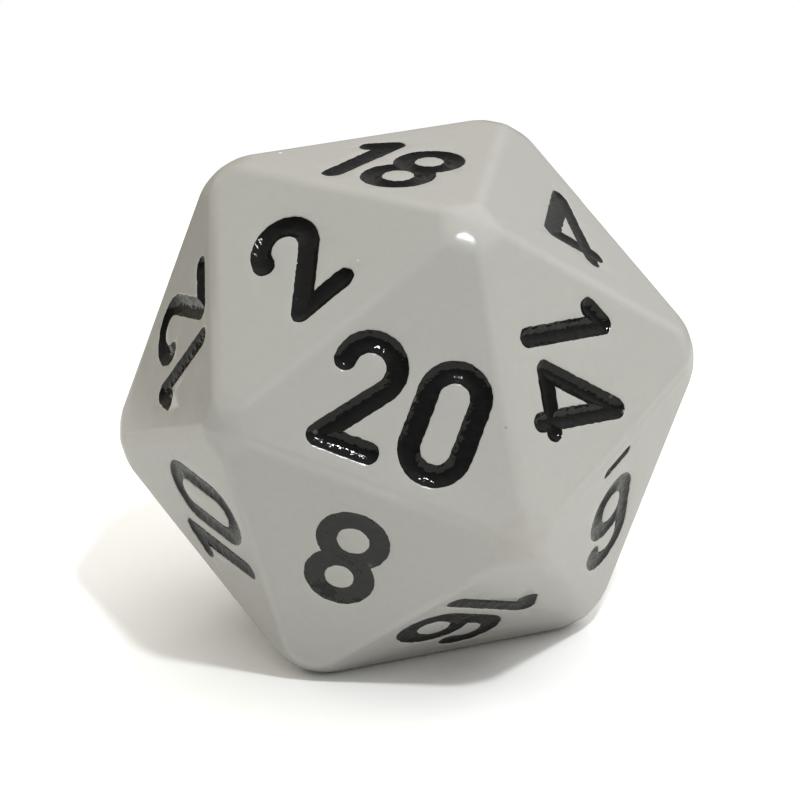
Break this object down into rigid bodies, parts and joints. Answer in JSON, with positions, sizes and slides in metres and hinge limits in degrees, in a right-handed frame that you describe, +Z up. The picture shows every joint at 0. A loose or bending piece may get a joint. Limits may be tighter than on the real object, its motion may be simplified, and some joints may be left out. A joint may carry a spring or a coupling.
{
  "type": "polyhedral die",
  "caption": "Opaque grey icosahedral gaming die with rounded edges and black enamel numerals set in engraved grooves.",
  "frame": {"origin": "centre of the face that the die stands on, the one numbered 3, on the table's surface", "axes": "+Z up through the face numbered 18; +X along the longest way across, from corner to opposite corner; -Y towards the viewer, half-way up is the edge below the face numbered 20"},
  "size_m": [0.0238, 0.0212, 0.02],
  "materials": {
    "body_plastic": "opaque warm light grey moulded plastic, satin gloss, faint orange peel, fine specks and hairline scratches",
    "numeral_enamel": "black gloss enamel, brushed into the grooves and sunk a little, uneven"
  },
  "bodies": {
    "root": {"die_body": "body_plastic", "numeral_1": "numeral_enamel", "numeral_2": "numeral_enamel", "numeral_3": "numeral_enamel", "numeral_4": "numeral_enamel", "numeral_5": "numeral_enamel", "numeral_6": "numeral_enamel", "numeral_6_bar": "numeral_enamel", "numeral_7": "numeral_enamel", "numeral_8": "numeral_enamel", "numeral_9": "numeral_enamel", "numeral_9_bar": "numeral_enamel", "numeral_10_tens": "numeral_enamel", "numeral_10_units": "numeral_enamel", "numeral_11_tens": "numeral_enamel", "numeral_11_units": "numeral_enamel", "numeral_12_tens": "numeral_enamel", "numeral_12_units": "numeral_enamel", "numeral_13_tens": "numeral_enamel", "numeral_13_units": "numeral_enamel", "numeral_14_tens": "numeral_enamel", "numeral_14_units": "numeral_enamel", "numeral_15_tens": "numeral_enamel", "numeral_15_units": "numeral_enamel", "numeral_16_tens": "numeral_enamel", "numeral_16_units": "numeral_enamel", "numeral_17_tens": "numeral_enamel", "numeral_17_units": "numeral_enamel", "numeral_18_tens": "numeral_enamel", "numeral_18_units": "numeral_enamel", "numeral_19_tens": "numeral_enamel", "numeral_19_units": "numeral_enamel", "numeral_20_tens": "numeral_enamel", "numeral_20_units": "numeral_enamel"}
  },
  "joints": []
}
